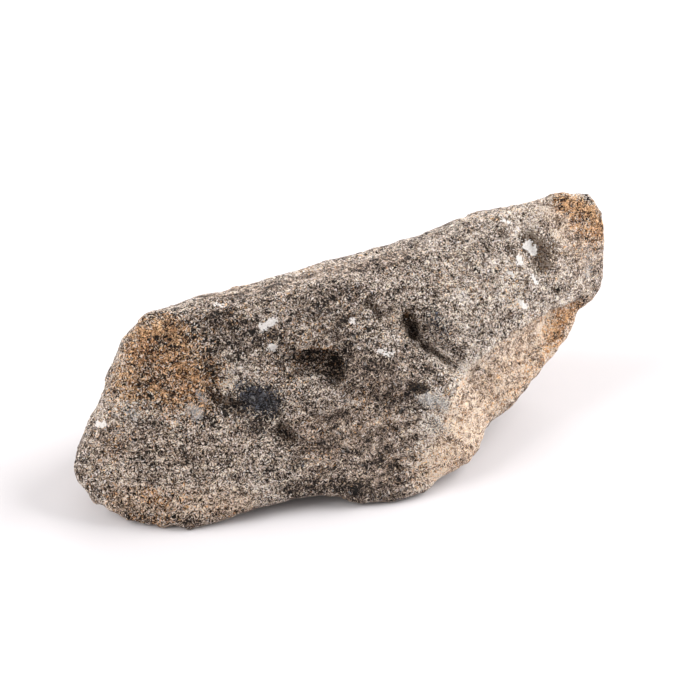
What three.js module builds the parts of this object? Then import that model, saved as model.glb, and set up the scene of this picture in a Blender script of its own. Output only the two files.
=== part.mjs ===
// A rough hand specimen of grey, iron-stained crystalline rock: one natural stone, 82 mm long.
// Millimetres, +Z up, +X along the stone's long axis towards its raised tip.
// The origin is under the middle of the stone, on the surface that it rests on.
import * as THREE from 'three';
import { ConvexHull } from 'three/addons/math/ConvexHull.js';
import { ImprovedNoise } from 'three/addons/math/ImprovedNoise.js';

// Driving dimensions
const edgeSoftness = 0.45;
const edgeAllowance = 0.35;
const footRoundness = 0.8;
const facetSize = 1.42;
const eveningRounds = 8;
const surroundings = new THREE.Box3(new THREE.Vector3(-46, -25, -4), new THREE.Vector3(46, 23, 34));

// Corners of the broken block, before its edges wore round, in groups that follow its ridges
const corners = {
  frontFoot: [[-37.4, -8.7, -2], [-30.8, -13.2, -2], [-26, -14.4, -2], [-3.2, -19.4, -2], [1.4, -19.9, -1.6]],
  backFoot: [[-31.2, 6.1, -2], [-13.2, 15.1, -2], [7.8, 16.1, -2], [19.8, 10.1, -1], [18.8, -4.9, 0.6]],
  nose: [[-40.8, 0.4, 7], [-41.2, -1.5, 4.6], [-40, -3.3, 2.6], [-37.6, 3.3, 10], [-35.6, 8.6, 4],
    [-34.4, 5.1, 13.6]],
  leftTop: [[-32.4, 7.3, 17.4], [-30.2, 8.1, 20.6], [-28.2, 7.9, 22.8], [-32.6, 11.6, 5], [-27.7, 13.1, 10]],
  ridge: [[-27.8, 4.3, 23.8], [-20.8, 3.7, 24.9], [-14, 1.5, 25.3], [-7.2, 0.1, 25.8], [-0.2, 0.1, 26.6],
    [11, 1.5, 27.5], [19, 2.5, 28.4], [27.1, 3.5, 29]],
  crest: [[-21.2, 8.4, 24.5], [-13.2, 6.1, 24], [0.5, 4.1, 25], [14.2, 4.5, 26.4], [23.4, 5.7, 28],
    [32.6, 6.3, 29]],
  tip: [[36.2, 5.9, 29.4], [38.5, 5.4, 29.1], [40.9, 4.9, 27.6], [41.4, 4.5, 25.6], [41, 2.5, 21],
    [40.8, 1.7, 18], [40, -0.8, 15.2], [40, 7.6, 23.6], [40.4, 6.6, 19.5], [37.2, 10.6, 17.5]],
  keel: [[1.8, -17.1, 2.6], [6.4, -13.7, 6.5], [9.8, -11.9, 10], [13.4, -10.1, 13], [20.8, -6.3, 14.5],
    [29.3, -3.5, 15.2]],
  side: [[2.8, -17.7, 0.6], [6.8, -15.6, 1.8], [10, -14.5, 2.9], [13, -13.1, 4.2], [18.1, -12.1, 5.8],
    [23.8, -9.5, 7.6], [27, -6.7, 9.3], [31.2, -3.2, 11.8]],
  back: [[-21.2, 16.1, 3], [-4.2, 19.1, 5], [11.8, 18.1, 6], [25.8, 12.1, 9], [34.8, 6.1, 13.5],
    [-20.2, 13.6, 14], [-6.2, 14.6, 15], [9.8, 14.6, 16], [23.8, 12.1, 19]],
};

// Ripple of the broken faces: wave lengths and heights
const ripples = [
  { wave: 9, swing: 0.35 },
  { wave: 4.6, swing: 0.25 },
];

// Hollows (depth above zero) and swellings (below zero) along paths on the surface. They fade out softly,
// and those of steepness 4 have steeper sides and a flatter floor.
const relief = [
  { name: 'centre hollow', path: [[-10.2, -4.1, 17.6], [-5.6, -5.8, 17.2]],
    reach: 2.3, depth: 1.5, steepness: 4 },
  { name: 'deep end of the hollow', path: [[-6.2, -5.7, 17], [-5.2, -5.9, 17]],
    reach: 1.9, depth: 1.2, steepness: 4 },
  { name: 'mouth of the hollow', path: [[-12.7, -5.7, 15], [-7.7, -6.9, 15]], reach: 2.6, depth: 0.6 },
  { name: 'shoulder of the hollow', path: [[-2.8, -7.3, 16], [-0.7, -8.5, 13.8]], reach: 2.4, depth: -0.8 },
  { name: 'groove', path: [[6.4, -4.4, 20.5], [8, -6.6, 17.4], [12.4, -8.9, 13.9]],
    reach: 1.6, depth: 1.2 },
  { name: 'block in the groove', path: [[10.2, -5.2, 19.4], [11.4, -6.1, 17.9]], reach: 2, depth: -0.7 },
  { name: 'upper nick', path: [[1, -1.9, 23.4], [3.4, -3.5, 21.4]], reach: 1.4, depth: 0.6 },
  { name: 'slanting step', path: [[-1.8, -8.3, 14], [2.4, -9.7, 12.2], [4.8, -10.5, 11]],
    reach: 1.6, depth: 0.6 },
  { name: 'pit in the lower face', path: [[-13.8, -8.5, 9.8], [-12.8, -8.5, 9.8]], reach: 1.6, depth: 0.8 },
  { name: 'crease above the foot', path: [[-22.2, -2.4, 15], [-17.8, -5.1, 13.2], [-13.2, -8.7, 9.4]],
    reach: 2.8, depth: 0.7 },
  { name: 'bay between the feet', path: [[-14.2, -11.4, 5], [-14.2, -13.4, 0]], reach: 5, depth: 0.5 },
  { name: 'swollen foot', path: [[-33.2, -4.4, 6.5], [-25.6, -8, 5.3], [-17.6, -10.1, 5]],
    reach: 5, depth: -0.9 },
  { name: 'trough by the stained face', path: [[-18.8, 0.9, 21.5], [-19.2, -2.5, 16.4]],
    reach: 2, depth: 0.7 },
  { name: 'dished lower face', path: [[-6.2, -10.4, 9.5], [-0.2, -12.4, 8]], reach: 4.5, depth: 0.8 },
  { name: 'dished side', path: [[15.3, -11.4, 9], [21.8, -8.4, 11], [29.3, -4.4, 13]],
    reach: 3, depth: 1.1 },
  { name: 'notch in the side', path: [[15.4, -13.1, 5.2], [17.3, -10.9, 4]], reach: 2, depth: 1 },
  { name: 'knee of the side', path: [[6.8, -15.9, 3.4], [11.8, -13.9, 4.8]], reach: 2.4, depth: -0.2 },
  { name: 'bay under the tip', path: [[34.6, -1.6, 13], [35.6, 0.4, 11]], reach: 2.2, depth: 0.8 },
  { name: 'pit near the tip', path: [[26.8, 0.2, 23.8], [27.6, 0.2, 23.8]], reach: 2, depth: 0.5 },
  { name: 'dip of the crest', path: [[-14, 7.6, 25], [13, 6.6, 27]], reach: 4.5, depth: 0.8 },
  { name: 'dip of the left edge', path: [[-35.6, 4.5, 12.8], [-36.2, 2.6, 11.5]], reach: 2.6, depth: 0.6 },
  { name: 'flake scar at the back', path: [[-9.2, 18.1, 9], [5.8, 18.6, 8]],
    reach: 6, depth: 1.6, steepness: 4 },
  { name: 'ledge at the back', path: [[-24.2, 13.1, 16], [-9.2, 14.1, 15.5], [1.8, 14.6, 18]],
    reach: 2, depth: -0.8 },
  { name: 'second ledge', path: [[7.8, 15.1, 14], [21.8, 12.6, 17]], reach: 2.2, depth: -0.7 },
  { name: 'foot of the ledge', path: [[-26.2, 14.1, 12.5], [-10.2, 16.1, 12], [3.8, 16.6, 13.5]],
    reach: 2, depth: 0.8 },
];

// The underside arches over the table, and these four feet reach down past it and are cut flat by it
const underside = { rise: 1.5, lowest: -0.5, ripples: [{ wave: 9, swing: 0.9 }, { wave: 5.2, swing: 0.5 }] };
const feet = [
  { at: [-27.6, -7.4], reach: 7.5 },
  { at: [-1.4, -13], reach: 7 },
  { at: [-21.4, 7], reach: 6 },
  { at: [9, 8.5], reach: 6.5 },
];
const footDrop = 2.6;

const noise = new ImprovedNoise();

function planesOfBlock() {
  const points = Object.values(corners).flat().map((corner) => new THREE.Vector3(...corner));
  const hull = new ConvexHull().setFromPoints(points);
  return hull.faces.map(({ normal, constant }) => new THREE.Plane(normal.clone(), -constant - edgeAllowance));
}

function linesOf(path) {
  const points = path.map((place) => new THREE.Vector3(...place));
  return points.slice(1).map((end, i) => new THREE.Line3(points[i], end));
}

const planes = planesOfBlock();
const strokes = relief.map((form) => ({ ...form, lines: linesOf(form.path) }));

function undersideLevel(point) {
  let level = underside.rise;
  for (const { wave, swing } of underside.ripples) {
    level += swing * noise.noise(point.x / wave, point.y / wave, 2.5);
  }
  for (const { at, reach } of feet) {
    const away = Math.hypot(point.x - at[0], point.y - at[1]) / reach;
    level -= footDrop * Math.exp(-away * away);
  }
  return Math.max(level, underside.lowest);
}

const closest = new THREE.Vector3();

function distanceToLines(point, lines) {
  let nearest = Infinity;
  for (const line of lines) {
    line.closestPointToPoint(point, true, closest);
    nearest = Math.min(nearest, closest.distanceTo(point));
  }
  return nearest;
}

// Height of a point above the block's broken faces: below zero inside
function heightAboveBlock(point) {
  let sum = 0;
  for (const plane of planes) {
    sum += Math.exp(plane.distanceToPoint(point) / edgeSoftness);
  }
  let value = edgeSoftness * Math.log(sum);
  for (const { wave, swing } of ripples) {
    value += swing * noise.noise(point.x / wave + 7.3, point.y / wave + 3.1, point.z / wave + 5.7);
  }
  for (const { lines, reach, depth, steepness = 2 } of strokes) {
    const away = distanceToLines(point, lines) / reach;
    if (away < 3) {
      value += depth * Math.exp(-(away ** steepness));
    }
  }
  return value;
}

// Height of a point above the whole stone's surface, where the broken faces round into the underside
function height(point) {
  const above = heightAboveBlock(point);
  const below = undersideLevel(point) - point.z;
  const gap = Math.abs(above - below);
  return Math.max(above, below) + footRoundness * Math.log(1 + Math.exp(-gap / footRoundness));
}

const nudged = new THREE.Vector3();

function slopeAt(point, here) {
  const step = 0.05;
  return new THREE.Vector3(
    height(nudged.set(point.x + step, point.y, point.z)) - here,
    height(nudged.set(point.x, point.y + step, point.z)) - here,
    height(nudged.set(point.x, point.y, point.z + step)) - here,
  ).divideScalar(step);
}

// Moves a point along the slope of the height until it lies on the surface, and returns the outward normal
function settle(point, steps) {
  const normal = new THREE.Vector3();
  for (let i = 0; i < steps; i += 1) {
    const here = height(point);
    const slope = slopeAt(point, here);
    const rate = Math.max(slope.length(), 0.3);
    normal.copy(slope).normalize();
    point.addScaledVector(normal, -here / rate);
  }
  return normal;
}

// A block of small cells around the stone, with the height at every corner of a cell
function measureCells() {
  const size = surroundings.getSize(new THREE.Vector3()).divideScalar(facetSize);
  const count = [Math.ceil(size.x) + 1, Math.ceil(size.y) + 1, Math.ceil(size.z) + 1];
  const heights = new Float64Array(count[0] * count[1] * count[2]);
  const indexOf = (i, j, k) => i + count[0] * (j + count[1] * k);
  const point = new THREE.Vector3();
  for (let k = 0; k < count[2]; k += 1) {
    for (let j = 0; j < count[1]; j += 1) {
      for (let i = 0; i < count[0]; i += 1) {
        point.set(i, j, k).multiplyScalar(facetSize).add(surroundings.min);
        heights[indexOf(i, j, k)] = height(point);
      }
    }
  }
  return { count, heights, indexOf };
}

// One point for each cell that the surface passes through, and the facets between neighbouring cells
function netOfSurface() {
  const { count, heights, indexOf } = measureCells();
  const points = [];
  const pointOfCell = new Map();
  const inside = (i, j, k) => heights[indexOf(i, j, k)] < 0;
  for (let k = 0; k < count[2] - 1; k += 1) {
    for (let j = 0; j < count[1] - 1; j += 1) {
      for (let i = 0; i < count[0] - 1; i += 1) {
        let full = 0;
        for (let corner = 0; corner < 8; corner += 1) {
          full += inside(i + (corner & 1), j + ((corner >> 1) & 1), k + (corner >> 2)) ? 1 : 0;
        }
        if (full > 0 && full < 8) {
          pointOfCell.set(indexOf(i, j, k), points.length);
          const middle = new THREE.Vector3(i + 0.5, j + 0.5, k + 0.5).multiplyScalar(facetSize);
          points.push(middle.add(surroundings.min));
        }
      }
    }
  }
  const quads = [];
  for (let k = 1; k < count[2] - 1; k += 1) {
    for (let j = 1; j < count[1] - 1; j += 1) {
      for (let i = 1; i < count[0] - 1; i += 1) {
        const here = inside(i, j, k);
        const around = [
          [inside(i + 1, j, k), [[0, -1, -1], [0, 0, -1], [0, 0, 0], [0, -1, 0]]],
          [inside(i, j + 1, k), [[-1, 0, -1], [-1, 0, 0], [0, 0, 0], [0, 0, -1]]],
          [inside(i, j, k + 1), [[-1, -1, 0], [0, -1, 0], [0, 0, 0], [-1, 0, 0]]],
        ];
        for (const [there, cells] of around) {
          if (here !== there) {
            const quad = cells.map(([a, b, c]) => pointOfCell.get(indexOf(i + a, j + b, k + c)));
            quads.push(here ? quad : quad.reverse());
          }
        }
      }
    }
  }
  return { points, quads };
}

function neighboursOf(quads, count) {
  const near = Array.from({ length: count }, () => new Set());
  for (const quad of quads) {
    quad.forEach((corner, i) => near[corner].add(quad[(i + 1) % 4]).add(quad[(i + 3) % 4]));
  }
  return near.map((set) => [...set]);
}

// Each quad is split across its shorter diagonal
function trianglesOf(quads, points) {
  return quads.flatMap(([a, b, c, d]) => {
    const acrossAC = points[a].distanceTo(points[c]);
    const acrossBD = points[b].distanceTo(points[d]);
    return acrossAC < acrossBD ? [a, b, c, a, c, d] : [b, c, d, b, d, a];
  });
}

function shapeStone() {
  const { points, quads } = netOfSurface();
  const near = neighboursOf(quads, points.length);
  let normals = points.map((point) => settle(point, 3));
  for (let round = 0; round < eveningRounds; round += 1) {
    const moved = points.map((point, i) => {
      const step = new THREE.Vector3();
      near[i].forEach((j) => step.add(points[j]));
      step.divideScalar(near[i].length).sub(point).projectOnPlane(normals[i]);
      return point.clone().addScaledVector(step, 0.5);
    });
    normals = moved.map((point) => settle(point, 2));
    moved.forEach((point, i) => points[i].copy(point));
  }
  points.forEach((point) => point.setZ(Math.max(point.z, 0)));
  const shape = new THREE.BufferGeometry().setFromPoints(points);
  shape.setIndex(trianglesOf(quads, points));
  shape.computeBoundingBox();
  const middle = shape.boundingBox.getCenter(new THREE.Vector3());
  shape.translate(-middle.x, -middle.y, 0);
  shape.computeVertexNormals();
  return shape;
}

const stoneSurface = new THREE.MeshStandardMaterial({ color: 0x8a7c72, roughness: 0.85, metalness: 0 });

const stone = new THREE.Mesh(shapeStone(), stoneSurface);
stone.name = 'stone';

const specimen = new THREE.Group();
specimen.add(stone);

export default specimen;
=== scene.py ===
"""A rough hand specimen of grey, iron-stained crystalline rock, broken on all sides, on its four low feet.

The stone's form comes from the frame. Here its skin gets the relief of broken rock, its grains, its stains
and its few larger crystals, and it stands on a pale floor in soft light.
"""
import math

import bmesh
import bpy
import numpy as np
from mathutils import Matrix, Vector, noise
from mathutils.bvhtree import BVHTree


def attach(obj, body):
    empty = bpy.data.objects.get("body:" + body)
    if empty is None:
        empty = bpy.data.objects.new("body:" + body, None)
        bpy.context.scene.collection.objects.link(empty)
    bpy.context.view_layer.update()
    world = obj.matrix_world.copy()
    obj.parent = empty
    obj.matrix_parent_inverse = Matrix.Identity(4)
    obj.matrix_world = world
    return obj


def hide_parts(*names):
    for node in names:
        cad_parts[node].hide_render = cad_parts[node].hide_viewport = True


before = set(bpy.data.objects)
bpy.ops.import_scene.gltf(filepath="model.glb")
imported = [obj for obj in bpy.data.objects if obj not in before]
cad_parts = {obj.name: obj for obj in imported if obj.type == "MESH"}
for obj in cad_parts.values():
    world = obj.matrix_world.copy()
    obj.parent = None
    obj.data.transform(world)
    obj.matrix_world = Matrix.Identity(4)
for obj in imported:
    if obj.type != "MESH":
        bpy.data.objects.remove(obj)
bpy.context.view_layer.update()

MM = 0.001

# Camera, at the photograph's viewing angle

AZIMUTH = math.radians(-23)
ELEVATION = math.radians(35)
DISTANCE = 0.327
LENS = 120
SENSOR = 36
NEAREST = 0.01
FARTHEST = 10
PHOTO_SIDE = 700
AIM = Vector((0.00114, 0.0034, 0.012))

BACK = Vector((
    math.sin(AZIMUTH) * math.cos(ELEVATION),
    -math.cos(AZIMUTH) * math.cos(ELEVATION),
    math.sin(ELEVATION),
))
RIGHT = Vector((math.cos(AZIMUTH), math.sin(AZIMUTH), 0))
UP = BACK.cross(RIGHT)
EYE = AIM + BACK * DISTANCE


def make_camera():
    lens = bpy.data.cameras.new("camera")
    lens.lens = LENS
    lens.sensor_width = SENSOR
    lens.clip_start = NEAREST
    lens.clip_end = FARTHEST
    camera = bpy.data.objects.new("camera", lens)
    camera.location = EYE
    camera.rotation_mode = "QUATERNION"
    camera.rotation_quaternion = (-BACK).to_track_quat("-Z", "Y")
    bpy.context.scene.collection.objects.link(camera)
    bpy.context.scene.camera = camera


def sight(pixel):
    """Direction from the eye through a pixel of the photograph."""
    across = (pixel[0] - PHOTO_SIDE / 2) * SENSOR / LENS / PHOTO_SIDE
    down = (pixel[1] - PHOTO_SIDE / 2) * SENSOR / LENS / PHOTO_SIDE
    return (RIGHT * across - UP * down - BACK).normalized()


# Forms of the skin, placed by short paths of photograph pixels

# Steps in the surface: the side to the right of the path lies lower by the depth, behind an edge of the
# given width, and comes back to the level within the reach. All three are in millimetres. A step fades out
# at both ends of its path.
STEPS = [
    ("rim of the hollow",
     [(276, 364), (294, 354), (312, 350), (327, 351), (337, 355), (343, 362), (345, 371), (343, 391)],
     2.1, 0.3, 4.6),
    ("ledge under the shoulder", [(338, 382), (352, 388), (376, 394), (408, 399)], 0.7, 0.4, 4.5),
    ("second ledge under it", [(316, 424), (336, 410), (352, 404)], 0.35, 0.4, 2.5),
    ("slab's lower edge",
     [(450, 402), (460, 384), (478, 361), (511, 336), (544, 317), (573, 303), (595, 294)],
     1.1, 0.5, 5.0),
    ("block's wall", [(405, 314), (424, 341), (440, 354), (459, 367)], 0.6, 0.3, 1.5),
    ("nick's wall", [(364, 300), (374, 304), (384, 316)], 0.5, 0.3, 1.6),
    ("ledge on the lower face", [(385, 462), (402, 456), (418, 456)], 0.35, 0.3, 1.6),
    ("ledge over the pits", [(212, 392), (232, 396), (247, 408)], 0.45, 0.3, 1.6),
    ("brow over the hollow", [(262, 352), (280, 346), (300, 344)], 0.3, 0.4, 1.8),
]
# The shares of its path between which a step has its full depth
STEP_FULL = (0.25, 0.8)

# Dents (depth above zero) and lumps (below zero): name, path, reach and depth in millimetres
DENTS = [
    ("notch above the hollow", [(345, 352), (354, 355)], 0.8, 0.5),
    ("upper groove", [(408, 318), (416, 332)], 1.2, 0.8),
    ("groove", [(414, 328), (428, 345), (442, 356)], 0.6, 0.6),
    ("groove's end", [(442, 356), (457, 366)], 0.4, 0.25),
    ("scratch", [(291, 311), (301, 324)], 0.5, 0.25),
    ("left pits", [(216, 399), (243, 408)], 1.0, 0.35),
    ("lower pit", [(281, 430), (292, 438)], 1.2, 0.6),
    ("small pit", [(313, 416), (322, 418)], 0.7, 0.35),
    ("bluish pit", [(293, 468), (301, 464)], 0.8, 0.35),
    ("face pit", [(388, 422), (396, 431)], 0.8, 0.3),
    ("low pit", [(397, 467), (401, 470)], 0.6, 0.4),
    ("valley by the left face", [(205, 325), (212, 360), (214, 398)], 1.6, 0.4),
    ("block in the groove", [(436, 318), (446, 336)], 2.0, -0.5),
    ("bumps", [(300, 430), (308, 437)], 0.8, -0.35),
    ("pale lump", [(192, 409), (199, 413)], 0.8, -0.3),
    ("pale pebble", [(198, 394), (203, 400)], 0.7, -0.3),
    ("left lump", [(126, 407), (134, 414)], 0.8, -0.25),
    ("dip under the slab", [(480, 380), (510, 360), (545, 338)], 2.4, 0.3),
]
# The share of its reach within which a dent has its full depth
DENT_FULL = 0.3

# Uneven broken faces: wave length and height in millimetres, and the noise's seed
RIPPLES = [(3.4, 0.15, 4), (1.8, 0.09, 9), (0.95, 0.05, 14)]

# Streaks, drawn out along x, y and z by the rock's grain
STREAK_WAVE = 1.1
STREAK_HEIGHT = 0.12
STREAK_SEED = 17
STREAK_GRAIN = (5, 1, 1.6)

# Small broken facets: size in millimetres and slope
CHIPS = [(3.4, 0.06), (1.5, 0.06)]
# Spreads the facets' leans, so that neighbours lean differently
CHIP_SPREAD = 7.3

# Small pits, in millimetres, and the strength of the painted shade in them
PIT_COUNT = 240
PIT_SEED = 31
PIT_LENGTH = 0.8
PIT_REACH = (0.35, 0.65)
PIT_DEPTH = (0.05, 0.2)
PIT_SHADE = 0.7

# Painted shade in the deepest hollows: how much darker they are, and the depths in millimetres where that
# starts and is full
HOLLOW_SHADE = 0.25
HOLLOW_SHADE_DEPTHS = (0.9, 2.6)

# How uneven the outlines of all forms and patches are: wave lengths and swings in millimetres
WAVER_WAVE = 1.6
WAVER_SWING = 0.22
WAVER_SEED = 21
WARP_WAVE = 2.6
WARP_SWING = 0.3
WARP_SEEDS = (31, 37, 43)

# Where in the noise a seed of 1 starts
SEED_STEP = np.array([1, 1.7, 2.3])

# Of the fine copy: points closer than this are one, facets that meet at less than this angle are joined, and
# each is split this often
MERGE_GAP = 1e-7
JOIN_ANGLE = math.radians(70)
SPLITS = 2

# Colour patches: name, path of pixels, reach in millimetres and strength

# How a patch weakens towards its edge, where 1 would be evenly
PATCH_POWER = 0.6

STAIN = [
    ("rusty top of the left face", [(146, 333), (166, 328), (180, 344)], 3.8, 0.92),
    ("ochre left face", [(138, 352), (168, 358), (198, 374)], 5.2, 0.76),
    ("foot of the left face", [(124, 380), (160, 392), (196, 396)], 4.8, 0.74),
    ("speckled lower edge", [(147, 492), (165, 504)], 2.2, 0.55),
    ("left foot", [(133, 518), (165, 521)], 1.6, 0.5),
    ("tip", [(566, 203), (588, 212), (601, 228)], 2.6, 0.95),
    ("tip's shoulder", [(575, 222), (592, 236)], 2.0, 0.7),
    ("side under the slab", [(581, 306), (566, 318), (556, 336)], 2.2, 0.8),
    ("along the side's rim", [(556, 336), (541, 358)], 2.2, 0.45),
    ("side's rim", [(541, 358), (516, 388), (492, 405)], 2.0, 0.35),
    ("warm low side", [(432, 458), (452, 448), (466, 446)], 2.8, 0.3),
    ("speck by the blue patch", [(436, 405), (439, 410)], 0.6, 1.0),
    ("speck on the groove", [(406, 315), (410, 318)], 0.6, 1.0),
    ("lip of the hollow", [(310, 349), (336, 351)], 0.7, 0.7),
    ("hollow", [(296, 362), (330, 362)], 2.4, 0.4),
]

BLUE = [
    ("navy patch", [(250, 397), (268, 402)], 3.0, 1.1),
    ("black blue spot", [(413, 387), (422, 389)], 1.2, 0.8),
    ("spot under the navy patch", [(250, 429), (261, 431)], 1.1, 0.5),
    ("bluish pit", [(294, 467), (302, 464)], 1.1, 0.6),
    ("block in the groove", [(434, 318), (447, 334)], 2.8, 0.5),
    ("left spot", [(136, 399), (141, 402)], 1.1, 0.5),
    ("lower left spot", [(172, 434), (186, 438)], 1.0, 0.45),
    ("lower side spot", [(433, 424), (440, 430)], 1.1, 0.5),
    ("dark foot", [(374, 498), (404, 498)], 1.3, 0.5),
]

HAZE = [
    ("block in the groove", [(434, 318), (447, 332)], 2.4, 0.3),
    ("pale blue patch", [(426, 398), (443, 405)], 1.5, 0.9),
    ("under it", [(433, 420), (444, 432)], 1.4, 0.5),
    ("pale lump", [(192, 410), (198, 414)], 1.2, 0.9),
    ("pale pebble", [(198, 394), (203, 400)], 0.9, 0.8),
    ("left lump", [(127, 408), (135, 416)], 1.1, 0.6),
    ("band at the tip", [(590, 250), (588, 275)], 1.6, 0.5),
]

CRYSTALS = [
    ("top crystal", [(264, 325), (272, 321)], 0.75, 1.0),
    ("crystal under it", [(270, 346), (274, 348)], 0.5, 0.9),
    ("left crystal", [(98, 424), (104, 425)], 0.6, 1.0),
    ("upper left crystal", [(217, 305), (221, 305)], 0.5, 0.9),
    ("middle crystal", [(351, 319), (353, 322)], 0.4, 0.9),
    ("cluster", [(380, 352), (391, 353)], 0.6, 0.8),
    ("white crystal", [(526, 245), (533, 251)], 0.75, 1.0),
    ("second white crystal", [(518, 257), (520, 262)], 0.6, 1.0),
    ("third white crystal", [(509, 273), (513, 277)], 0.5, 1.0),
    ("fourth white crystal", [(533, 278), (536, 283)], 0.45, 0.9),
    ("fifth white crystal", [(521, 302), (525, 307)], 0.5, 0.9),
    ("crystal on the shoulder", [(503, 220), (507, 222)], 0.55, 0.9),
]

# Dark grains and spots, and painted shade in the groove, the nick, the pits and the notch right of the
# hollow
DARK_AND_SHADE = [
    # painted shade in the groove
    ("upper groove", [(409, 320), (417, 335)], 1.3, 0.9),
    ("groove", [(414, 328), (428, 345), (440, 354)], 0.7, 0.75),
    ("groove's end", [(440, 354), (453, 363)], 0.45, 0.4),
    ("streak in the block", [(446, 314), (450, 332)], 0.5, 0.6),
    ("black blue spot", [(413, 387), (422, 389)], 1.2, 1.2),
    # painted shade in the nick
    ("nick", [(367, 301), (380, 314)], 1.0, 0.6),
    ("patch near the tip", [(531, 243), (545, 250), (543, 264)], 2.7, 1.0),
    ("beside the white crystals", [(520, 268), (528, 288)], 1.0, 0.5),
    ("band by the navy patch", [(213, 396), (238, 406)], 1.6, 0.8),
    # painted shade in the pits
    ("lower pit", [(281, 430), (292, 438)], 1.3, 0.7),
    ("small pit", [(313, 416), (322, 418)], 0.9, 0.6),
    ("face pit", [(388, 422), (396, 431)], 1.0, 0.6),
    ("low pit", [(397, 467), (401, 470)], 0.8, 0.9),
    ("spot by the tip", [(555, 219), (559, 222)], 1.1, 0.8),
    ("spot on the slab", [(510, 249), (515, 255)], 1.1, 0.8),
    ("spot on the slab's edge", [(554, 288), (558, 291)], 0.8, 0.9),
    ("spot on the ridge", [(467, 260), (471, 262)], 0.8, 0.8),
    ("spot left of it", [(501, 232), (505, 236)], 0.8, 0.8),
    ("spot over the block", [(437, 296), (439, 299)], 0.8, 0.9),
    ("spot on the shoulder", [(495, 220), (500, 221)], 0.9, 0.8),
    ("streak over the hollow", [(300, 316), (318, 330), (338, 338)], 0.8, 0.5),
    # painted shade in the notch right of the hollow
    ("streak right of it", [(350, 354), (366, 352)], 0.6, 0.7),
]

# A face that takes another colour along one sharp edge: the path of the edge, where the change lies across
# it and how far the face reaches to its right in millimetres, and the share of that reach with full colour
SIDE_EDGE = [(444, 424), (450, 402), (460, 384), (478, 361), (511, 336), (544, 317), (573, 303), (595, 294)]
SIDE_CHANGE = (-0.15, 0.25)
SIDE_REACH = 9.0
SIDE_FULL = 0.7
# How much lighter the side face is, partly its paler rock and partly painted light where it faces the key
# light, and how much warmer
SIDE_PALENESS_AND_LIGHT = 0.2
SIDE_WARMTH = 0.5

WARM = [
    ("side face", [(462, 440), (505, 392), (560, 335)], 5.0, 0.6),
    ("lower side", [(425, 475), (455, 430)], 4.0, 0.6),
    ("tip", [(560, 215), (590, 240)], 6.0, 0.6),
    ("left foot", [(120, 500), (240, 505)], 4.5, 0.7),
    ("left lobe", [(110, 450), (230, 450)], 7.0, 0.3),
    ("left face", [(140, 350), (190, 390)], 6.0, 0.6),
]

# Faces of finer and less speckled grain
SOFT = [
    ("lower middle face", [(330, 440), (385, 430), (380, 475)], 6.5, 1.0),
    ("right of the hollow", [(365, 368), (400, 385)], 3.5, 0.8),
    ("side face", [(445, 450), (500, 395), (565, 330)], 6.5, 1.0),
    ("tip", [(560, 220), (585, 270)], 6.0, 0.8),
    ("top band", [(212, 296), (275, 286), (330, 272), (400, 256)], 1.8, 0.9),
]

# Guessed for the faces that the photograph doesn't show: how much such a face looks towards the camera, and
# the wave length in millimetres, strength and seed of its stain and shade
HIDDEN_TURN = (0.1, -0.25)
HIDDEN_WAVE = 12
HIDDEN_STAIN = 0.5
HIDDEN_STAIN_NOISE = (0.1, 0.5)
HIDDEN_STAIN_SEED = 51
HIDDEN_SHADE = 0.22
HIDDEN_SHADE_SHIFT = 0.5
HIDDEN_SHADE_SEED = 57
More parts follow.
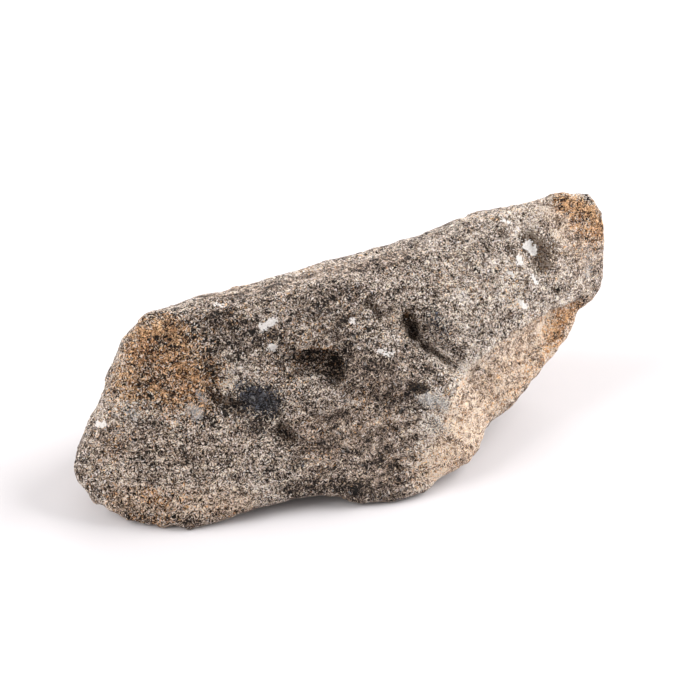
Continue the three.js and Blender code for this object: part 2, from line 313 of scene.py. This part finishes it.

# Broad lighter and darker areas: partly the rock's own lightness, partly painted shade and painted light, as
# marked below
TONES_AND_PAINTED_LIGHT = [
    # painted shade in the hollow, darkest at its right wall, and under its rim
    ("hollow", [(300, 362), (334, 364)], 3.6, -0.08),
    ("right end of the hollow", [(318, 362), (330, 366), (332, 380)], 2.2, -0.4),
    ("under the rim of the hollow", [(290, 359), (310, 355)], 1.2, -0.1),
    ("between the stain and the hollow", [(228, 310), (242, 345), (284, 344)], 4.2, -0.22),
    ("shoulder by the hollow", [(346, 364), (380, 376)], 3.4, -0.2),
    # painted shadow line under the shoulder
    ("arc under the shoulder", [(346, 388), (376, 396), (404, 402)], 1.8, -0.14),
    ("pitted face", [(290, 436), (322, 440)], 3.2, -0.22),
    ("left end of the lobe", [(104, 440), (150, 455)], 3.0, -0.1),
    ("low left of the lobe", [(125, 470), (150, 488)], 2.4, 0.14),
    ("by the pale pebble", [(184, 396), (196, 408)], 1.6, 0.1),
    ("over the dark band", [(226, 386), (238, 390)], 1.2, 0.15),
    ("low side", [(432, 466), (452, 448)], 2.4, 0.12),
    ("top band's left end", [(208, 298), (272, 290)], 2.6, -0.16),
    ("flank of the ridge", [(352, 268), (420, 258)], 2.6, -0.14),
    ("stained face", [(150, 352), (190, 378)], 4.4, -0.07),
    ("bright rust", [(145, 331), (156, 331)], 1.3, 0.18),
    ("rim of the stained face", [(142, 338), (128, 375), (128, 405)], 2.6, 0.1),
    ("beside the stain", [(192, 328), (200, 352), (208, 368)], 1.8, -0.14),
    ("under the hollow", [(308, 393), (346, 402)], 2.0, 0.1),
    ("dark grains of the lower face", [(386, 448), (396, 456)], 1.6, -0.15),
    ("dark of the side", [(488, 372), (512, 368)], 2.0, -0.1),
    ("right edge of the left face", [(206, 330), (214, 400)], 3.2, -0.22),
    ("upper left band", [(216, 318), (275, 335)], 4.0, -0.2),
    ("sheltered face", [(300, 300), (330, 330), (380, 400), (330, 440)], 7.0, -0.08),
    ("upper middle", [(318, 302), (345, 298), (344, 340)], 3.6, -0.26),
    ("middle of the face", [(350, 400), (400, 400)], 4.0, -0.1),
    ("lower middle face", [(330, 460), (390, 470)], 6.0, -0.12),
    ("left end", [(119, 362), (116, 380)], 1.6, 0.2),
    ("left lobe", [(100, 450), (250, 450)], 8.0, -0.1),
    ("crest of the lobe", [(205, 415), (270, 425)], 2.6, -0.2),
    ("left of the hollow", [(278, 365), (292, 377)], 2.6, -0.22),
    ("block", [(412, 310), (430, 314), (444, 330)], 2.8, -0.22),
    ("under the groove", [(408, 350), (424, 368), (440, 380)], 2.2, -0.24),
    # painted shade along the arch's edge and under the left foot
    ("edge of the arch", [(288, 489), (356, 491)], 2.4, -0.42),
    ("under the left foot", [(130, 514), (190, 521)], 1.5, -0.3),
    ("foot", [(180, 495), (270, 480)], 3.4, 0.08),
    ("right end of the foot", [(205, 508), (240, 498), (266, 487)], 2.0, 0.16),
    # lighter side face: partly paler rock, partly painted light from the key's side
    ("side face", [(440, 450), (500, 390), (560, 330)], 7.0, 0.16),
    ("edge of the side face", [(462, 372), (440, 400), (434, 425), (428, 470)], 2.5, 0.18),
    # painted highlight along the slab's lip
    ("lip of the slab", [(474, 356), (507, 330), (540, 311), (570, 297)], 1.3, 0.14),
    ("slab", [(470, 300), (560, 260)], 8.0, 0.15),
    ("top of the tip", [(520, 226), (575, 212)], 5.0, 0.3),
    ("shoulder of the slab", [(470, 238), (502, 228)], 2.2, 0.12),
    # painted light that lifts the step's shade at the foot of the groove
    ("foot of the groove", [(463, 380), (474, 364), (496, 350)], 1.7, 0.34),
    ("over the middle crystal", [(346, 294), (372, 306)], 2.2, -0.14),
    ("low spot of the ridge", [(384, 256), (398, 252)], 1.4, -0.16),
    # painted light that lifts the step's shade under the tip
    ("side under the tip", [(546, 326), (574, 308)], 2.0, 0.2),
    ("dip by the stain", [(206, 360), (216, 378)], 1.7, -0.26),
    ("over the crest of the lobe", [(224, 408), (252, 424)], 1.6, -0.14),
    # painted shade at the left heel
    ("left heel", [(126, 508), (136, 513)], 2.4, -0.3),
    ("right end of the side", [(560, 310), (580, 300)], 4.0, 0.1),
]

# Skin of the stone


def smooth(low, high, value):
    """0 at low, 1 at high, and smooth between them. Low may be the larger number."""
    share = np.clip((value - low) / (high - low), 0, 1)
    return share * share * (3 - 2 * share)


class Skin:
    """The stone's fine mesh, with its points in millimetres."""

    def __init__(self, piece):
        self.mesh = piece.data
        self.tree = BVHTree.FromPolygons(
            [v.co.copy() for v in self.mesh.vertices],
            [tuple(p.vertices) for p in self.mesh.polygons],
        )
        count = len(self.mesh.vertices)
        flat = np.empty(count * 3)
        self.mesh.vertices.foreach_get("co", flat)
        self.points = flat.reshape(-1, 3) / MM
        flat = np.empty(count * 3)
        self.mesh.vertices.foreach_get("normal", flat)
        self.normals = flat.reshape(-1, 3)
        self.rest = self.points.copy()
        self.sunk = np.zeros(count)
        self.waver = WAVER_SWING * self.rumple(WAVER_WAVE, WAVER_SEED)
        bends = [self.rumple(WARP_WAVE, seed) for seed in WARP_SEEDS]
        self.warped = self.rest + WARP_SWING * np.stack(bends, axis=1)

    def spot(self, pixel):
        """The place on the stone that a pixel of the photograph shows."""
        hit = self.tree.ray_cast(EYE, sight(pixel))[0]
        if hit is None:
            raise ValueError(f"no stone at pixel {pixel}")
        return np.array(hit) / MM

    def away(self, path):
        """Distance of every point from a path of pixels, a little uneven so that no edge is a clean arc."""
        return self.beside([self.spot(pixel) for pixel in path])[0] + self.waver

    def beside(self, places):
        """How far every point lies from a path of places, how far to its right, and its share along it."""
        nearest = np.full(len(self.rest), np.inf)
        rightward = np.zeros(len(self.rest))
        passed = np.zeros(len(self.rest))
        for number, (start, end) in enumerate(zip(places, places[1:])):
            along = end - start
            share = np.clip((self.warped - start) @ along / (along @ along), 0, 1)
            gap = self.warped - start - share[:, None] * along
            distance = np.linalg.norm(gap, axis=1)
            closer = distance < nearest
            across = np.cross(along / np.linalg.norm(along), self.normals)
            nearest[closer] = distance[closer]
            rightward[closer] = np.sum(gap * across, axis=1)[closer]
            passed[closer] = (number + share[closer]) / (len(places) - 1)
        return nearest, rightward, passed

    def rumple(self, wave, seed, grain=(1, 1, 1)):
        """Smooth noise of the given wave length, from about -1 to 1, drawn out along the rock's grain."""
        places = self.rest / (np.array(grain) * wave) + seed * SEED_STEP
        return np.array([noise.noise(Vector(place)) for place in places])

    def raise_by(self, height):
        self.points += self.normals * height[:, None]

    def sink_by(self, depth):
        """Lowers the points and remembers by how much, because the deepest hollows get painted shade."""
        self.raise_by(-depth)
        self.sunk += depth

    def mark(self, name, values):
        layer = self.mesh.attributes.new(name, "FLOAT", "POINT")
        layer.data.foreach_set("value", values.astype(np.float32))

    def apply(self):
        self.points[:, 2] = np.maximum(self.points[:, 2], 0)
        self.mesh.vertices.foreach_set("co", (self.points * MM).ravel())
        self.mesh.update()


def fine_copy(node, name):
    """A copy of a CAD node with its facets rounded and split into a fine, even mesh."""
    shape = bmesh.new()
    shape.from_mesh(node.data)
    bmesh.ops.remove_doubles(shape, verts=shape.verts, dist=MERGE_GAP)
    bmesh.ops.join_triangles(
        shape,
        faces=shape.faces,
        angle_face_threshold=JOIN_ANGLE,
        angle_shape_threshold=JOIN_ANGLE,
    )
    coarse = bpy.data.meshes.new(name)
    shape.to_mesh(coarse)
    shape.free()
    piece = bpy.data.objects.new(name, coarse)
    bpy.context.scene.collection.objects.link(piece)
    modifier = piece.modifiers.new("fine", "SUBSURF")
    modifier.levels = SPLITS
    shown = piece.evaluated_get(bpy.context.evaluated_depsgraph_get())
    piece.data = bpy.data.meshes.new_from_object(shown)
    piece.modifiers.clear()
    piece.data.shade_smooth()
    return piece


def patches(skin, strokes):
    """The strongest of the strokes at every point: its strength in its middle and 0 past its reach."""
    near = np.zeros(len(skin.rest))
    for name, path, reach, strength in strokes:
        near = np.maximum(near, strength * np.clip(1 - skin.away(path) / reach, 0, 1) ** PATCH_POWER)
    return near


def shades(skin, strokes):
    """The sum of the strokes at every point, each fading out softly."""
    total = np.zeros(len(skin.rest))
    for name, path, reach, strength in strokes:
        total += strength * smooth(1, 0, skin.away(path) / reach)
    return total


def side_face(skin):
    """1 on the face to the right of the slab's lower edge and 0 elsewhere."""
    distance, rightward = skin.beside([skin.spot(pixel) for pixel in SIDE_EDGE])[:2]
    inside = smooth(*SIDE_CHANGE, rightward + skin.waver)
    return inside * smooth(SIDE_REACH, SIDE_FULL * SIDE_REACH, distance)


def hidden_face(skin):
    """1 on the faces that the photograph doesn't show and 0 on the ones it shows."""
    return smooth(*HIDDEN_TURN, skin.normals @ np.array(BACK))


def cut_steps(skin):
    for name, path, depth, edge, reach in STEPS:
        distance, rightward, passed = skin.beside([skin.spot(pixel) for pixel in path])
        wall = smooth(-edge / 2, edge / 2, rightward)
        ends = smooth(0, STEP_FULL[0], passed) * smooth(1, STEP_FULL[1], passed)
        skin.sink_by(depth * wall * ends * smooth(reach, edge, distance))


def press_dents(skin):
    for name, path, reach, depth in DENTS:
        skin.sink_by(depth * smooth(reach, DENT_FULL * reach, skin.away(path)))


def chip_heights(skin, size, tilt):
    """The skin as small broken facets, each tilted its own way."""
    heights = np.empty(len(skin.rest))
    half = Vector((0.5, 0.5, 0.5))
    for index, place in enumerate(skin.rest / size):
        middle = noise.voronoi(Vector(place))[1][0]
        lean = noise.cell_vector(middle * CHIP_SPREAD) - half
        heights[index] = (Vector(place) - middle).dot(lean) * 2
    return tilt * size * heights


def roughen(skin):
    for wave, height, seed in RIPPLES:
        skin.raise_by(height * skin.rumple(wave, seed))
    skin.raise_by(STREAK_HEIGHT * skin.rumple(STREAK_WAVE, STREAK_SEED, STREAK_GRAIN))
    for size, tilt in CHIPS:
        skin.raise_by(chip_heights(skin, size, tilt))


def scatter_pits(skin):
    """Small pits all over the stone, each a short dash in a direction of its own, with painted shade in
    them.
    """
    random = np.random.default_rng(PIT_SEED)
    dark = np.zeros(len(skin.rest))
    for index in random.integers(0, len(skin.rest), PIT_COUNT):
        start = skin.rest[index]
        end = start + random.normal(0, PIT_LENGTH, 3)
        reach = random.uniform(*PIT_REACH)
        near = smooth(reach, 0, skin.beside([start, end])[0])
        skin.raise_by(-random.uniform(*PIT_DEPTH) * near)
        # painted shade in the pit
        dark = np.maximum(dark, PIT_SHADE * near)
    return dark


# Finishes


class Value:
    """A number that varies over a surface. Python's operators on it add Math nodes."""

    def __init__(self, finish, socket):
        self.finish = finish
        self.socket = socket

    def math(self, operation, *numbers):
        return self.finish.node("ShaderNodeMath", {"operation": operation}, dict(enumerate(numbers)))

    def __add__(self, other):
        return self.math("ADD", self, other)

    __radd__ = __add__

    def __sub__(self, other):
        return self.math("SUBTRACT", self, other)

    def __rsub__(self, other):
        return self.math("SUBTRACT", other, self)

    def __mul__(self, other):
        return self.math("MULTIPLY", self, other)

    __rmul__ = __mul__

    def larger(self, other):
        return self.math("MAXIMUM", self, other)

    def between(self, low, high):
        """0 below low, 1 above high, and smooth between them."""
        settings = {"interpolation_type": "SMOOTHSTEP"}
        return self.finish.node(
            "ShaderNodeMapRange", settings, {"Value": self, "From Min": low, "From Max": high}
        )


# The colour sockets of a Mix node, by number
MIX_SHARE = 0
MIX_FIRST = 6
MIX_SECOND = 7
MIX_RESULT = 2


class Finish:
    """One material and its nodes."""

    def __init__(self, name):
        self.material = bpy.data.materials.new(name)
        self.material.use_nodes = True
        self.tree = self.material.node_tree
        self.tree.nodes.clear()

    def node(self, kind, settings=None, sockets=None, output=0):
        """Adds a node, with its settings made first, and returns the named output."""
        made = self.tree.nodes.new(kind)
        for name, value in (settings or {}).items():
            if name == "stops":
                self.stops(made.color_ramp, value)
            else:
                setattr(made, name, value)
        for name, value in (sockets or {}).items():
            if isinstance(value, Value):
                self.tree.links.new(value.socket, made.inputs[name])
            else:
                made.inputs[name].default_value = value
        return Value(self, made.outputs[output]) if made.outputs else None

    def stops(self, ramp, colours):
        for place in list(colours)[2:]:
            ramp.elements.new(place)
        for element, (place, colour) in zip(ramp.elements, colours.items()):
            element.position = place
            element.color = (*colour, 1)

    def mix(self, first, second, share, blend="MIX"):
        """Colour mix."""
        settings = {"data_type": "RGBA", "blend_type": blend}
        sockets = {MIX_SHARE: share, MIX_FIRST: first, MIX_SECOND: second}
        for socket in (MIX_FIRST, MIX_SECOND):
            if isinstance(sockets[socket], tuple):
                sockets[socket] = (*sockets[socket], 1)
        return self.node("ShaderNodeMix", settings, sockets, MIX_RESULT)

    def vector(self, operation, sockets):
        """Vector maths."""
        return self.node("ShaderNodeVectorMath", {"operation": operation}, sockets)

    def attribute(self, name):
        return self.node("ShaderNodeAttribute", {"attribute_name": name}, output="Fac")

    def shader(self, sockets):
        surface = self.node("ShaderNodeBsdfPrincipled", sockets=sockets)
        self.node("ShaderNodeOutputMaterial", sockets={"Surface": surface})
        return self.material


# Colours of the grains, and tints that are laid over them

BLACK_MICA = (0.008, 0.006, 0.005)
DARK_GREY = (0.045, 0.034, 0.027)
WARM_GREY = (0.20, 0.147, 0.116)
BEIGE = (0.44, 0.326, 0.253)
PALE = (0.66, 0.54, 0.445)
WHITE = (0.84, 0.78, 0.70)
GRAIN_RAMP = {0.0: BLACK_MICA, 0.16: DARK_GREY, 0.38: WARM_GREY, 0.64: BEIGE, 0.84: PALE, 1.0: WHITE}
MILKY = (0.95, 0.91, 0.88)
COOL_TINT = (0.97, 1.0, 1.13)
SANDY_TINT = (1.04, 0.99, 0.86)
OCHRE_TINT = (1.04, 0.75, 0.46)
RUST_TINT = (0.46, 0.25, 0.12)
PEACH = (1.0, 0.90, 0.81)
NAVY_TINT = (0.13, 0.15, 0.20)
CLOUDY_BLUE = (0.50, 0.51, 0.52)
UMBER_AND_SHADE_TINT = (0.20, 0.16, 0.13)

# Patterns of the rock: how often each repeats in a millimetre
COARSE_GRAINS = 6.0
FINE_GRAINS = 8.0
CRYSTAL_FACES = 2.8
SWIRLS = 1.4
CLUMPS = 1.2
STREAKS = 1.1
ZONES = 0.16
# Detail of the swirls that bend the grains, and of the other cloudy patterns
SWIRL_DETAIL = 1.0
CLOUD_DETAIL = 3.0
# How far the swirls move the grains, in millimetres, and how the streaks are drawn out in x, y and z
BEND = (1.0, 1.0, 1.0)
STREAK_SQUEEZE = (0.25, 1.0, 0.7)
# Every pattern runs from 0 to 1, around this
MIDDLE = 0.5

# Lightness of the rock, and how much each pattern changes it, also where it is stained or soft
LIGHTNESS = 0.44
CLUMP_SHADE = 1.2
STREAK_SHADE = 1.1
ZONE_SHADE = 0.5
STAINED_SHADE = 1.3
COARSE_CONTRAST = 1.05
FINE_CONTRAST = 0.95
CONTRAST = 1.15
SOFT_CONTRAST = 0.5
STAINED_CONTRAST = 0.9
# A few grains are painted much lighter as painted glints, and some are glossy
PAINTED_GLINT_LOTS = (0.96, 0.98)
PAINTED_GLINT = 0.35
GLOSSY_LOTS = (0.85, 0.95)
GLOSSY = 0.4

# How a patch takes single grains: its strength, how ragged clumps and streaks make its edge, where it starts
# and is full, and the most that it covers
PATCH_STRENGTH = 1.5
PATCH_RAGGED = 0.9
CLUMP_RAGGED = 1.2
STREAK_RAGGED = 0.5
PATCH_START = (0.15, 0.45)
PATCH_MOST = {"stain": 0.95, "haze": 0.45, "blue": 1.0, "dark": 0.9}
WARM_FULL = 0.8
# Ochre grains among the rusty ones, and single rusty grains everywhere
OCHRE_LOTS = (0.25, 0.75)
SINGLE_ZONES = 0.5
SINGLE_LOTS = (0.94, 0.99)
# How angular the white crystals are, where they start, and how much the grains show in them
CRYSTAL_RAGGED = 0.7
CRYSTAL_START = (0.32, 0.40)
CRYSTAL_GRAIN = 0.35

# Bump of the grains: the domes of the coarse ones, and the rise of fine and coarse ones
DOME = -0.6
FINE_RISE = 0.35
COARSE_RISE = 0.4
BUMP_STRENGTH = 0.7
BUMP_HEIGHT = 0.22 * MM
ROCK_ROUGHNESS = 0.85
ROCK_GLOSS = 0.2


def rock_finish():
    finish = Finish("rock")

    def clouds(places, scale, detail=CLOUD_DETAIL, output=0):
        sockets = {"Vector": places, "Scale": scale, "Detail": detail}
        return finish.node("ShaderNodeTexNoise", {}, sockets, output)

    def cells(scale, output="Color"):
        return finish.node("ShaderNodeTexVoronoi", {}, {"Vector": bent, "Scale": scale}, output)

    def lots(colours, number):
        """One of the three numbers that every cell draws for itself."""
        return finish.node("ShaderNodeSeparateColor", {}, {"Color": colours}, number)

    place = finish.node("ShaderNodeTexCoord", output="Object")
    grid = finish.vector("SCALE", {0: place, "Scale": 1 / MM})
    swirl = clouds(grid, SWIRLS, SWIRL_DETAIL, "Color")
    bent = finish.vector("MULTIPLY_ADD", {0: swirl, 1: BEND, 2: grid})

    # Grains: a coarse and a fine set, each with lots of its own
    coarse = cells(COARSE_GRAINS)
    fine = cells(FINE_GRAINS)
    dome = cells(COARSE_GRAINS, "Distance")
    coarse_lot = lots(coarse, 0)
    second_lot = lots(coarse, 1)
    third_lot = lots(coarse, 2)
    fine_lot = lots(fine, 0)
    fine_second = lots(fine, 1)

    # Clumps of grains, streaks, and broad lighter and darker zones
    clump = clouds(grid, CLUMPS) - MIDDLE
    streak = clouds(finish.vector("MULTIPLY", {0: grid, 1: STREAK_SQUEEZE}), STREAKS) - MIDDLE
    zone = clouds(grid, ZONES) - MIDDLE
    uneven = clump * CLUMP_SHADE + streak * STREAK_SHADE + zone * ZONE_SHADE
    uneven = uneven * (1 + finish.attribute("stain") * STAINED_SHADE)
    contrast = CONTRAST - finish.attribute("soft") * SOFT_CONTRAST
    contrast = contrast + finish.attribute("stain") * STAINED_CONTRAST
    salt = (coarse_lot - MIDDLE) * COARSE_CONTRAST + (fine_lot - MIDDLE) * FINE_CONTRAST
    painted_glint = fine_second.between(*PAINTED_GLINT_LOTS) * PAINTED_GLINT
    # The broad areas bring their painted light and shade into the lightness here, with the painted glints
    lightness = LIGHTNESS + salt * contrast + painted_glint + uneven + finish.attribute("tone")
    grains = finish.node("ShaderNodeValToRGB", {"stops": GRAIN_RAMP}, {0: lightness})
    hue = finish.mix(COOL_TINT, SANDY_TINT, fine_second)
    colour = finish.mix(grains, hue, 1.0, "MULTIPLY")
    warm = finish.attribute("warm").between(0, WARM_FULL)
    colour = finish.mix(colour, PEACH, warm, "MULTIPLY")

    edge = clump * CLUMP_RAGGED + streak * STREAK_RAGGED

    def chosen(name, lot):
        """The grains that a patch takes: all of them in its middle, fewer towards its edge."""
        near = finish.attribute(name) * PATCH_STRENGTH + edge * PATCH_RAGGED - lot
        return near.between(*PATCH_START) * PATCH_MOST[name]

    # Iron stain, and single rusty grains everywhere
    rusty = finish.mix(RUST_TINT, OCHRE_TINT, third_lot.between(*OCHRE_LOTS))
    single = (third_lot + zone * SINGLE_ZONES).between(*SINGLE_LOTS)
    colour = finish.mix(colour, rusty, chosen("stain", second_lot).larger(single), "MULTIPLY")

    # The pale patches cover grains; the blue-grey and dark ones, the dark with painted shade, only tint them
    colour = finish.mix(colour, CLOUDY_BLUE, chosen("haze", fine_second))
    colour = finish.mix(colour, NAVY_TINT, chosen("blue", fine_second), "MULTIPLY")
    colour = finish.mix(colour, UMBER_AND_SHADE_TINT, chosen("dark", second_lot), "MULTIPLY")
    angle = lots(cells(CRYSTAL_FACES), 2) - MIDDLE
    crystal = (finish.attribute("crystal") + angle * CRYSTAL_RAGGED).between(*CRYSTAL_START)
    colour = finish.mix(colour, MILKY, crystal * (1 - fine_lot * CRYSTAL_GRAIN))

    height = dome * DOME + fine_lot * FINE_RISE + coarse_lot * COARSE_RISE
    bump = {"Strength": BUMP_STRENGTH, "Distance": BUMP_HEIGHT, "Height": height}
    return finish.shader({
        "Base Color": colour,
        "Roughness": ROCK_ROUGHNESS - second_lot.between(*GLOSSY_LOTS) * GLOSSY,
        "Normal": finish.node("ShaderNodeBump", {}, bump),
        "Specular IOR Level": ROCK_GLOSS,
    })


def floor_finish():
    finish = Finish("pale floor")
    return finish.shader({
        "Base Color": (0.76, 0.73, 0.74, 1),
        "Roughness": 0.9,
        "Specular IOR Level": 0.1,
    })


# Surroundings

# Lights: name, turn from +X and height above the floor in degrees, distance and size in metres, and power
LIGHTS = [
    ("key", -4, 28, 0.9, 0.9, 14),
    ("back", 66, 16, 1.0, 0.9, 8),
    ("fill", 165, 30, 1.0, 0.9, 11),
]
ROOM_COLOUR = (1.0, 0.99, 0.985, 1)
ROOM_LIGHT = 0.36
FLOOR_REACH = 3


def add_light(name, turn, height, away, size, power):
    """A soft round light that looks at the stone."""
    turn, height = math.radians(turn), math.radians(height)
    lamp = bpy.data.lights.new(name, "AREA")
    lamp.shape = "DISK"
    lamp.size = size
    lamp.energy = power
    light = bpy.data.objects.new(name, lamp)
    direction = Vector((
        math.cos(turn) * math.cos(height),
        math.sin(turn) * math.cos(height),
        math.sin(height),
    ))
    light.location = AIM + direction * away
    light.rotation_mode = "QUATERNION"
    light.rotation_quaternion = direction.to_track_quat("Z", "Y")
    bpy.context.scene.collection.objects.link(light)


def make_surroundings():
    world = bpy.data.worlds.new("soft white room")
    bpy.context.scene.world = world
    world.use_nodes = True
    background = world.node_tree.nodes["Background"]
    background.inputs["Color"].default_value = ROOM_COLOUR
    background.inputs["Strength"].default_value = ROOM_LIGHT
    sheet = bpy.data.meshes.new("floor")
    corners = [(x * FLOOR_REACH, y * FLOOR_REACH, 0) for x, y in ((-1, -1), (1, -1), (1, 1), (-1, 1))]
    sheet.from_pydata(corners, [], [(0, 1, 2, 3)])
    floor = bpy.data.objects.new("floor", sheet)
    sheet.materials.append(floor_finish())
    bpy.context.scene.collection.objects.link(floor)
    for light in LIGHTS:
        add_light(*light)
    bpy.context.scene.view_settings.view_transform = "Standard"


# The stone on its floor

make_camera()
stone = fine_copy(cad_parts["stone"], "rough_stone")
skin = Skin(stone)
cut_steps(skin)
press_dents(skin)
roughen(skin)
pits = scatter_pits(skin)
side = side_face(skin)
hidden = hidden_face(skin)
hidden_stain = HIDDEN_STAIN * smooth(*HIDDEN_STAIN_NOISE, skin.rumple(HIDDEN_WAVE, HIDDEN_STAIN_SEED))
hidden_tone = HIDDEN_SHADE * (skin.rumple(HIDDEN_WAVE, HIDDEN_SHADE_SEED) - HIDDEN_SHADE_SHIFT)
skin.mark("stain", np.maximum(patches(skin, STAIN), hidden * hidden_stain))
skin.mark("blue", patches(skin, BLUE))
skin.mark("haze", patches(skin, HAZE))
skin.mark("crystal", patches(skin, CRYSTALS))
# Dark grains and spots, with painted shade in the groove, the nick and the pits
skin.mark("dark", np.maximum(patches(skin, DARK_AND_SHADE), pits))
# Painted shade, darker where the skin was sunk deeper
hollow_shade = HOLLOW_SHADE * smooth(*HOLLOW_SHADE_DEPTHS, skin.sunk)
skin.mark("tone", shades(skin, TONES_AND_PAINTED_LIGHT) + SIDE_PALENESS_AND_LIGHT * side - hollow_shade + hidden * hidden_tone)
skin.mark("warm", shades(skin, WARM) + SIDE_WARMTH * side)
skin.mark("soft", patches(skin, SOFT))
skin.apply()
stone.data.materials.append(rock_finish())
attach(stone, "root")
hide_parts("stone")
make_surroundings()
